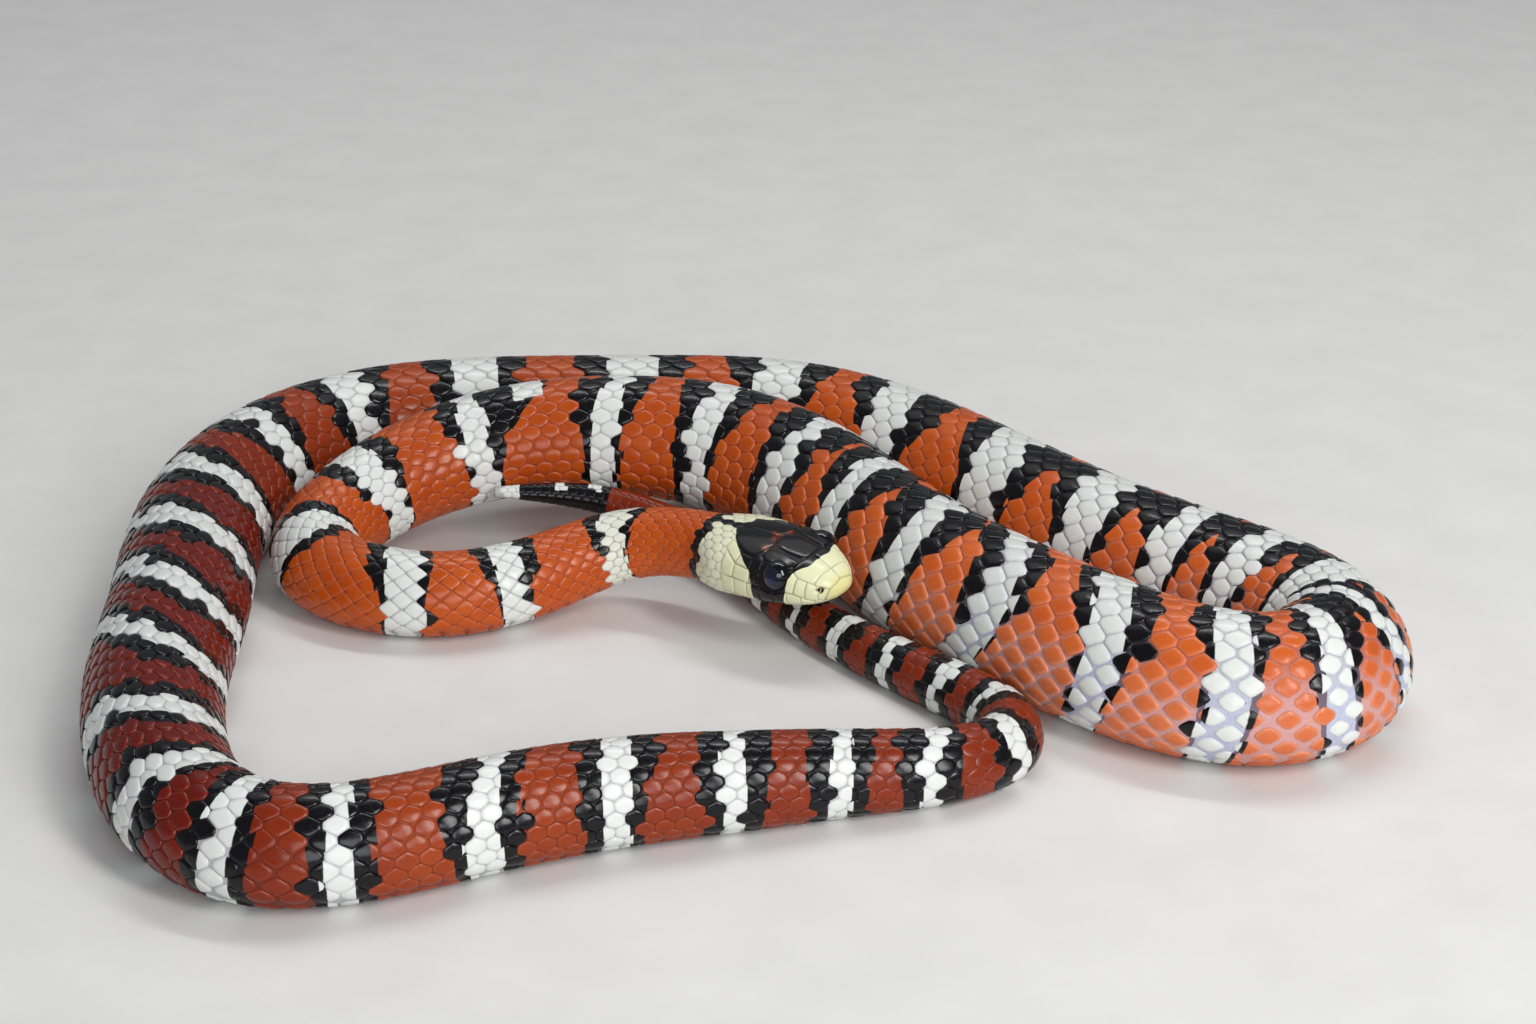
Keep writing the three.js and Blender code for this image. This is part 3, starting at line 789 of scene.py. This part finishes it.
def scale_material():
    m = Shader("glossy_scales", 0.3)
    red_depth_and_shade, tone, rim, spread, warm = m.mark("red_depth_and_shade"), m.mark("tone"), m.mark("rim"), m.mark("spread"), m.mark("warm")
    grain = m.noise(1500.0, 4.0)
    blotch = m.noise(240.0, 2.0)
    # The red goes darker where the coil lies in shade: painted shade, with some of the red's own darker tone.
    red = m.mix(red_depth_and_shade, colour(220, 94, 12), colour(100, 12, 2))
    red = m.mix(m.ramp(tone, 0.0, 1.0, 0.0, 0.5), red, m.mix(red_depth_and_shade, colour(234, 114, 24), colour(124, 24, 4)))
    red = m.mix(m.ramp(blotch, 0.4, 0.7, 0.0, 0.35), red, m.mix(red_depth_and_shade, colour(198, 72, 10), colour(84, 10, 2)))
    # Where the scales are spread the red turns paler pink: partly the stretched scales' own tone, partly painted light
    # on the brightly lit right flank.
    red = m.mix(m.sum("MULTIPLY", spread, 0.4), red, colour(236, 140, 96))
    # Red scales get a lighter pink rim, most where spread: partly their own paler edge, partly a painted sheen along
    # the rims.
    red = m.mix(m.sum("MULTIPLY", m.ramp(rim, 0.6, 1.0), m.ramp(spread, 0.0, 1.0, 0.15, 0.75)), red,
                m.mix(red_depth_and_shade, colour(240, 164, 132), colour(150, 70, 44)))
    black = m.mix(m.ramp(tone, 0.0, 1.0, 0.0, 0.6), colour(4, 4, 7), colour(11, 12, 18))
    cream = m.mix(warm, colour(226, 229, 228), colour(231, 230, 194))
    # Pale scales turn grey-blue towards the rim: painted shade on their rounded edges.
    cream = m.mix(m.ramp(rim, 0.75, 1.0, 0.0, 0.5), cream, colour(198, 200, 207))
    painted, in_black = m.marked(red, black, cream, 0.16)
    painted = m.mix(m.ramp(grain, 0.3, 0.8, 0.0, 0.16), painted, m.mix(0.5, painted, colour(60, 40, 40)))
    m.put(painted, m.surface.inputs["Base Color"])
    base_rough = m.ramp(grain, 0.3, 0.7, 0.24, 0.36)
    m.put(m.sum("SUBTRACT", base_rough, m.sum("MULTIPLY", in_black, 0.06)), m.surface.inputs["Roughness"])
    m.surface.inputs["Coat Weight"].default_value = 0.14
    m.surface.inputs["Coat Roughness"].default_value = 0.12
    m.bump(grain, 0.18, 0.00005)
    return m.material


glossy_scales = scale_material()
roots, local = scale_roots()
lengths = [("scales_neck", 0, 128), ("scales_front_left", 128, 225), ("scales_front_right", 225, 330),
           ("scales_bend", 330, 440), ("scales_back", 440, 560), ("scales_loop", 560, 690),
           ("scales_low", 690, vent), ("scales_tail", vent, 1100)]
for name, start, end in lengths:
    chosen = (roots[:, 0] >= start) & (roots[:, 0] < end)
    coat = lattice_plates(name, roots[chosen], local[chosen])
    coat.data.materials.append(glossy_scales)
    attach(coat, "root")


# The belly scales: one broad smooth plate to each row of small scales, from the throat to the vent, then pairs
# under the tail. Each lies flat on the floor, and its free edge points back.
plate_squareness = 5.0


def broad_plates(name, s, g, half_wide, points_round, rim_shares):
    count = len(s)
    local = np.clip(look_up(stretch, s, g), 0.5, 1.3)
    pitch = np.interp(s, pitch_at, pitch_mm)
    half_long = (pitch * local * 0.5 - 0.06)[:, None]
    half_wide = half_wide[:, None]
    angle = np.linspace(0.0, 2 * math.pi, points_round, endpoint=False)[None]
    power = 2 / plate_squareness
    out_x = half_long * np.sign(np.cos(angle)) * np.abs(np.cos(angle)) ** power
    out_y = half_wide * np.sign(np.sin(angle)) * np.abs(np.sin(angle)) ** power
    depth = coat_depth(s)[:, None]

    def raised(share, x, y):
        edge = depth * (0.5 + 0.3 * (0.5 + 0.5 * x / half_long))
        return edge * (rim_lift if share == 1.0 else 1.0) + depth * 0.15 * (1 - share ** 4)

    x, y, lift, rim = stack_rims(out_x, out_y, rim_shares, raised)
    s_at = np.clip(s[:, None] + x / local[:, None], 0.05, body_length - 0.05)
    g_at = g[:, None] + y / girth_at(s)[:, None]
    points = lay(s_at, g_at, lift)
    pale, dark = markings(s_at, g_at)
    wrapped = (g + 1.0) % 2.0 - 1.0
    uv = unwrap(s, np.clip(wrapped, -0.98, 0.98), strip_at(s))[:, None]
    uv = uv + np.stack([x, y], -1) / (2 * half_wide[..., None]) * patch_size
    marks = plate_marks(s, pale, dark, rim, np.zeros(count))
    quads, fans = plate_faces(count, points_round, len(rim_shares))
    piece = joined_mesh(name, points.reshape(-1, 3), quads, fans, marks, uv=uv.reshape(-1, 2))
    piece.data.materials.append(glossy_scales)
    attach(piece, "root")


belly_beats = np.arange(math.ceil(beats[0]), np.interp(vent, beat_s, beats))
belly_s = np.interp(belly_beats, beats, beat_s)
belly_s = belly_s[belly_s > 24.5]
belly_half = (1 - belly_edge(belly_s)) * girth_at(belly_s) * 0.98
broad_plates("belly_scales", belly_s, np.ones(len(belly_s)), belly_half, 44, (1.02, 1.0, 0.93, 0.7, 0.4))
for side, shift in ((1, 0.0), (-1, 0.5)):
    tail_beats = np.arange(np.interp(vent + 2, beat_s, beats), beats[-1] - 1.2) + shift
    tail_s = np.interp(tail_beats, beats, beat_s)
    share = (1 - belly_edge(tail_s)) / 2
    side_name = "tail_scales_left" if side > 0 else "tail_scales_right"
    broad_plates(side_name, tail_s, side * (1 - share), share * girth_at(tail_s) * 0.96, 20, (1.02, 1.0, 0.9, 0.5))


# The head shields: flat horn plates fitted edge to edge with fine seams. Each is named and given by its corners:
# distance behind the snout in mm, and share of the way from the crown, 0, to the lip, 1, and the chin, 2.
paired_shields = {
    "internasal": [(1.0, 0.0), (2.8, 0.0), (3.1, 0.50), (1.05, 0.50), (0.82, 0.32)],
    "prefrontal": [(2.8, 0.0), (6.3, 0.0), (6.8, 0.19), (6.9, 0.40), (5.7, 0.49), (3.1, 0.50)],
    "nasal_front": [(1.1, 0.51), (2.4, 0.51), (2.4, 0.86), (1.9, 0.86), (1.5, 0.72)],
    "nasal_rear": [(2.45, 0.51), (4.1, 0.50), (4.2, 0.80), (2.45, 0.86)],
    "loreal": [(4.15, 0.50), (5.6, 0.50), (5.9, 0.74), (4.25, 0.79)],
    "preocular": [(5.7, 0.50), (6.9, 0.42), (7.5, 0.50), (7.3, 0.74), (6.0, 0.74)],
    "supraocular": [(6.9, 0.20), (9.6, 0.22), (12.6, 0.18), (13.2, 0.33),
                    (12.0, 0.42), (9.6, 0.45), (7.5, 0.43), (6.9, 0.38)],
    "postocular_high": [(12.1, 0.43), (13.3, 0.35), (14.3, 0.45), (14.0, 0.58), (12.1, 0.58)],
    "postocular_low": [(12.1, 0.59), (14.0, 0.59), (14.0, 0.73), (12.2, 0.76), (11.7, 0.72)],
    "parietal": [(12.8, 0.16), (14.0, 0.0), (20.6, 0.0), (21.4, 0.12),
                 (20.4, 0.26), (17.0, 0.40), (14.5, 0.42), (13.3, 0.33)],
    "temporal_1": [(14.5, 0.43), (17.0, 0.41), (17.4, 0.56), (14.1, 0.58)],
    "temporal_2": [(14.1, 0.59), (17.4, 0.57), (17.5, 0.73), (14.1, 0.74)],
    "temporal_3": [(17.1, 0.40), (20.4, 0.28), (20.8, 0.42), (17.5, 0.55)],
    "temporal_4": [(17.5, 0.57), (20.1, 0.47), (20.2, 0.60), (19.8, 0.74), (17.6, 0.73)],
}
# Upper lip shields, eight a side, and lower lip shields, eight a side: where one ends and the next begins.
upper_lip = [2.1, 3.0, 4.9, 7.1, 9.6, 12.0, 14.5, 17.2, 19.8]
upper_lip_top = [0.87, 0.85, 0.79, 0.75, 0.80, 0.77, 0.74, 0.74, 0.76]
lower_lip = [2.1, 3.4, 5.0, 7.0, 9.3, 11.8, 14.3, 16.8, 19.4]
lower_lip_low = [1.45, 1.36, 1.32, 1.30, 1.30, 1.30, 1.29, 1.27, 1.25]
lean = 0.35
for i in range(8):
    a, b = upper_lip[i], upper_lip[i + 1]
    paired_shields[f"upper_lip_{i + 1}"] = [
        (a, upper_lip_top[i]), (b, upper_lip_top[i + 1]), (b + lean, 0.985), (a + lean, 0.985)]
    a, b = lower_lip[i], lower_lip[i + 1]
    paired_shields[f"lower_lip_{i + 1}"] = [
        (a, 1.03), (b, 1.03), (b - lean, lower_lip_low[i + 1]), (a - lean * 0.5, lower_lip_low[i])]
paired_shields["chin_front"] = [(3.1, 1.99), (8.4, 1.99), (9.0, 1.72), (6.4, 1.34), (3.3, 1.40)]
paired_shields["chin_rear"] = [(9.1, 1.72), (8.8, 1.98), (13.2, 1.97), (14.2, 1.70), (12.4, 1.50), (9.6, 1.48)]
paired_shields["throat_1"] = [(9.6, 1.32), (12.4, 1.32), (12.5, 1.47), (9.7, 1.46)]
paired_shields["throat_2"] = [(12.7, 1.31), (15.4, 1.30), (15.6, 1.50), (12.9, 1.50)]
paired_shields["throat_3"] = [(14.4, 1.52), (16.6, 1.52), (16.8, 1.76), (14.6, 1.76)]
paired_shields["throat_4"] = [(15.7, 1.29), (18.4, 1.27), (18.2, 1.42), (15.9, 1.48)]
paired_shields["throat_5"] = [(14.0, 1.78), (16.4, 1.79), (16.4, 1.99), (13.6, 1.99)]
middle_shields = {
    "frontal": [(6.5, 0.0), (6.8, 0.17), (9.6, 0.20), (12.5, 0.15),
                (13.9, 0.0), (12.5, -0.15), (9.6, -0.20), (6.8, -0.17)],
    "mental": [(1.75, 2.0), (1.9, 1.5), (2.9, 1.75), (3.0, 2.0), (2.9, 2.25), (1.9, 2.5)],
}
seam = 0.08
shield_points = 48
shield_rims = (1.03, 1.0, 0.97, 0.9, 0.76, 0.6, 0.42, 0.22)
nostril_part = 0.59
shield_lift, shield_bevel, shield_dome, shield_sink = 0.2, 0.1, 0.04, -0.06
shield_sharpness = 20.0
rostral_at = [0, 0.25, 0.38, 0.5, 0.62, 0.72, 0.82, 1]
rostral_reach = [0.95, 0.78, 1.0, 1.2, 1.6, 2.0, 1.6, 1.3]
rostral_rim, rostral_sink = 0.03, -0.07


def share_from_part(s, part, side):
    """Girth share from the share of the way to the lip or, past it, to the middle of the chin."""
    lip = np.interp(s, table_s, lip_share)
    over = np.abs(part)
    share = np.where(over < 1, over * lip, lip + (over - 1) * (1 - lip))
    return share * side * np.where(part < 0, -1.0, 1.0)


def shield(corners, side, tone):
    """One shield with its corners a little rounded: place, lift and marks of its points."""
    corners = np.array(corners)
    middle = corners.mean(0)
    unit = np.interp(middle[0], table_s, half_girth * lip_share)
    if middle[1] > 1:
        unit = np.interp(middle[0], table_s, half_girth * (1 - lip_share))
    flat = (corners - middle) * [1.0, unit]
    turn = np.roll(flat, -1, 0) - flat
    if (flat[:, 0] * np.roll(flat[:, 1], -1) - flat[:, 1] * np.roll(flat[:, 0], -1)).sum() < 0:
        turn = -turn
    normal = np.stack([turn[:, 1], -turn[:, 0]], -1)
    normal /= np.linalg.norm(normal, axis=1)[:, None]
    distance = (normal * flat).sum(1) - seam / 2
    angle = np.linspace(0.0, 2 * math.pi, shield_points, endpoint=False)
    radius = rounded_outline(angle, zip(np.arctan2(normal[:, 1], normal[:, 0]), distance), shield_sharpness)
    x = np.concatenate([radius * np.cos(angle) * r for r in shield_rims] + [[0.0]])
    y = np.concatenate([radius * np.sin(angle) * r for r in shield_rims] + [[0.0]])
    rho = np.concatenate([np.full(shield_points, r) for r in shield_rims] + [[0.0]])
    s = np.clip(middle[0] + x, 0.1, 40.0)
    part = middle[1] + y / unit
    lift = shield_lift - shield_bevel * np.clip(rho, 0, 1) ** 16 + shield_dome * (1 - rho ** 2)
    lift = np.where(rho > 1.0, shield_sink, lift * min(1.0, distance.min() / 0.7))
    pit = np.exp(-(np.hypot(s - nostril_back, (part - nostril_part) * unit) / nostril_radius) ** 4) * (middle[1] < 1)
    g = share_from_part(s, np.clip(part, -2.0, 2.5), side)
    return s, g, lift, np.minimum(rho, 1.0), pit, np.full(len(s), tone)


def flecks(s, g):
    """Small red marks on the crown, along the seams behind the eyes."""
    mm = g * girth_at(s)
    total = np.zeros(s.shape)
    for at_s, at_mm, long, wide in ((13.6, -3.8, 0.9, 0.9), (13.7, -0.9, 0.8, 1.1), (12.8, 2.3, 0.8, 1.1),
                                    (12.3, -2.4, 0.8, 0.35), (14.6, 0.5, 1.2, 0.5), (10.3, 2.7, 3.0, 0.2)):
        total += np.exp(-((s - at_s) / long) ** 2 - ((mm - at_mm) / wide) ** 2)
    return total


def shields_mesh():
    made = []
    for side in (1.0, -1.0):
        for corners in paired_shields.values():
            made.append(shield(corners, side, rng.random()))
    for corners in middle_shields.values():
        made.append(shield(corners, 1.0, rng.random()))
    s, g, lift, rho, pit, tone = [np.array(a) for a in zip(*made)]
    # The rostral wraps the tip of the snout, so it is laid out round the tip instead.
    angle = np.linspace(-1.0, 1.0, shield_points, endpoint=False)
    reach = np.interp(np.abs(angle), rostral_at, rostral_reach)
    tip_s = np.concatenate([np.maximum((reach - seam / 2) * r ** 1.3, 0.012) for r in shield_rims] + [[0.012]])
    tip_g = np.concatenate([angle for _ in shield_rims] + [[0.0]])
    tip_rim = np.where(lift[0] < 0, rostral_sink, rostral_rim)
    tip_lift = np.where(rho[0] >= 1.0, tip_rim, shield_lift)
    s, g, lift, rho = [np.vstack(a) for a in ((s, tip_s), (g, tip_g), (lift, tip_lift), (rho, rho[0]))]
    pit, tone = np.vstack([pit, np.zeros(len(tip_s))]), np.vstack([tone, np.full(len(tip_s), 0.9)])
    points = lay(s, g, lift)
    pale, dark = markings(s, g)
    quads, fans = plate_faces(len(s), shield_points, len(shield_rims))
    marks = {
        "pale": pale, "dark": dark, "rim": rho, "pit": pit, "tone": tone, "fleck": flecks(s, g),
        "warm": warm_at(s), "lemon": 1 - smooth_step(0.6, 2.2, s),
    }
    uv = unwrap(s, g, 0)
    return joined_mesh("head_shields", points.reshape(-1, 3), quads, fans, marks, uv=uv.reshape(-1, 2))


head_shields = shields_mesh()


def shield_material():
    m = Shader("head_horn", 0.28)
    tone, rim, pit, warm = m.mark("tone"), m.mark("rim"), m.mark("pit"), m.mark("warm")
    grain = m.noise(1700.0, 4.0)
    black = m.mix(m.ramp(tone, 0.0, 1.0), colour(8, 8, 10), colour(16, 16, 20))
    fleck = m.sum("ADD", m.mark("fleck"), m.ramp(grain, 0.0, 1.0, -0.3, 0.3))
    black = m.mix(m.ramp(fleck, 0.25, 1.5), black, colour(150, 62, 16))
    cream = m.mix(warm, colour(232, 233, 214), colour(233, 232, 190))
    cream = m.mix(m.sum("MULTIPLY", m.mark("lemon"), 0.7), cream, colour(232, 222, 138))
    cream = m.mix(m.ramp(rim, 0.96, 1.0, 0.0, 0.5), cream, colour(176, 178, 150))
    painted, in_black = m.marked(colour(190, 74, 26), black, cream, 0.3)
    painted = m.mix(m.ramp(grain, 0.35, 0.8, 0.0, 0.12), painted, m.mix(0.5, painted, colour(90, 80, 60)))
    # The nostril pit is painted near black: painted shade in the hole.
    painted = m.mix(m.ramp(pit, 0.25, 0.8), painted, colour(38, 26, 26))
    m.put(painted, m.surface.inputs["Base Color"])
    m.put(m.sum("SUBTRACT", m.ramp(grain, 0.3, 0.7, 0.26, 0.38), m.sum("MULTIPLY", in_black, 0.12)),
          m.surface.inputs["Roughness"])
    m.surface.inputs["Coat Weight"].default_value = 0.2
    m.surface.inputs["Coat Roughness"].default_value = 0.1
    m.bump(grain, 0.12, 0.00004)
    return m.material


head_shields.data.materials.append(shield_material())
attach(head_shields, "root")


# The eyes: wet black domes, about 4 mm across where they show, under a clear fixed scale and with no lids. Each
# is one smooth cap of a ball, set in its dip of the skin below the brow.
eye_radius = 2.7
eye_side = 5.75
eye_cap = math.pi * 0.62
painted_sheen_reach = 1.0
iris_reach = 1.75
iris_edge = 0.35
eye_turns, eye_rounds = 48, 26


def eyeball(name, side, node):
    middle, _, back, left, up = [a[0] for a in stations(np.array([eye_back]))]
    centre = middle + left * side * eye_side + up * orbit_height
    gaze = left * side * 0.97 + up * 0.2 - back * 0.1
    gaze /= np.linalg.norm(gaze)
    across = np.cross(gaze, up)
    across /= np.linalg.norm(across)
    tall = np.cross(across, gaze)
    polar = np.linspace(0.0, eye_cap, eye_rounds + 1)[1:]
    turn = np.linspace(0.0, 2 * math.pi, eye_turns, endpoint=False)
    p, t = [a.ravel() for a in np.meshgrid(polar, turn, indexing="ij")]
    ring = np.sin(p)[:, None] * (np.cos(t)[:, None] * across + np.sin(t)[:, None] * tall)
    points = centre + eye_radius * (ring + np.cos(p)[:, None] * gaze)
    points = np.vstack([points, centre + eye_radius * gaze, centre - eye_radius * 0.5 * gaze])
    front = eye_rounds * eye_turns
    quads = band_faces(eye_rounds, eye_turns)[:, [0, 3, 2, 1]]
    fans = np.concatenate([
        fan_faces(0, eye_turns, front)[:, [2, 0, 1]],
        fan_faces((eye_rounds - 1) * eye_turns, eye_turns, front + 1)[:, [2, 1, 0]]])
    reach = np.append(eye_radius * np.sin(np.minimum(p, math.pi / 2)), [0.0, eye_radius])
    flat = np.append(p, [0.0, math.pi]) / math.pi * 0.48
    spin = np.append(t, [0.0, 0.0])
    uv = np.stack([0.5 + flat * np.cos(spin), 0.5 + flat * np.sin(spin)], -1)
    piece = joined_mesh(name, points, quads, fans, {"reach": reach}, uv=uv)
    piece.data.materials.append(eye_material)
    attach(piece, "root")
    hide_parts(node)


def make_eye_material():
    m = Shader("wet_eye", 0.06)
    reach = m.mark("reach")
    fibres = m.noise(5200.0, 5.0)
    iris = m.mix(m.ramp(fibres, 0.35, 0.7), colour(18, 19, 30), colour(34, 34, 52))
    # The middle of the eye is painted navy, lighter than the iris round it: a painted bluish reflection.
    painted = m.mix(m.ramp(reach, painted_sheen_reach - 0.1, painted_sheen_reach + 0.1), colour(26, 30, 62), iris)
    painted = m.mix(m.ramp(reach, iris_reach, iris_reach + iris_edge), painted, colour(6, 6, 9))
    m.put(painted, m.surface.inputs["Base Color"])
    m.put(m.ramp(fibres, 0.3, 0.7, 0.05, 0.09), m.surface.inputs["Roughness"])
    m.surface.inputs["Coat Weight"].default_value = 0.45
    m.surface.inputs["Coat Roughness"].default_value = 0.02
    return m.material


eye_material = make_eye_material()
eyeball("eyeball_left", 1.0, "eye_left")
eyeball("eyeball_right", -1.0, "eye_right")


# The floor and the light of a plain studio: pale paper, a long soft lamp at the right front, a weaker one low in
# front, a narrow one behind, which draws the gleam along the back, and a broad faint one overhead.
bpy.ops.mesh.primitive_plane_add(size=6.0)
floor = bpy.context.object
floor.name = "floor"
paper = Shader("pale_paper", 0.75)
fibre = paper.noise(60.0, 5.0)
paper.put(paper.mix(paper.ramp(fibre, 0.3, 0.7), colour(228, 227, 224), colour(234, 233, 230)),
          paper.surface.inputs["Base Color"])
floor.data.materials.append(paper.material)


def lamp(name, place, aim, width, height, watts, tint):
    light = bpy.data.lights.new(name, "AREA")
    light.shape = "RECTANGLE"
    light.size, light.size_y = width, height
    light.energy = watts
    light.color = tint
    holder = bpy.data.objects.new(name, light)
    bpy.context.scene.collection.objects.link(holder)
    holder.location = place
    direction = np.array(aim) - np.array(place)
    flat = math.hypot(direction[0], direction[1])
    holder.rotation_euler = (math.atan2(flat, -direction[2]), 0.0, math.atan2(-direction[0], direction[1]))


lamp("key", (0.42, -0.52, 0.48), (0, 0, 0), 0.16, 0.5, 3.4, (1.0, 0.99, 0.98))
lamp("fill", (0.1, -0.8, 0.32), (0, 0, 0), 0.5, 0.4, 2.7, (0.95, 0.97, 1.0))
lamp("gleam", (0.1, 0.25, 0.7), (0, 0, 0), 0.6, 0.05, 1.3, (1.0, 1.0, 1.0))
lamp("ceiling", (0.0, 0.9, 1.5), (0, 0.6, 0), 2.2, 1.2, 5.0, (1.0, 1.0, 1.0))
world = bpy.data.worlds.new("studio")
world.use_nodes = True
world.node_tree.nodes["Background"].inputs["Color"].default_value = (0.82, 0.86, 0.92, 1)
world.node_tree.nodes["Background"].inputs["Strength"].default_value = 0.22
bpy.context.scene.world = world
bpy.context.scene.view_settings.view_transform = "Standard"

# The camera stands where the picture was taken from, looking down at the coil.
picture_width = 1536
focal_pixels = 3000
sensor = 36.0
camera_height = 0.222
camera_down = 23
camera_data = bpy.data.cameras.new("camera")
camera_data.sensor_width = sensor
camera_data.lens = sensor * focal_pixels / picture_width
camera = bpy.data.objects.new("camera", camera_data)
bpy.context.scene.collection.objects.link(camera)
camera.location = (-coil_middle[0] * MM, -coil_middle[1] * MM, camera_height)
camera.rotation_euler = (math.radians(90 - camera_down), 0.0, 0.0)
bpy.context.scene.camera = camera
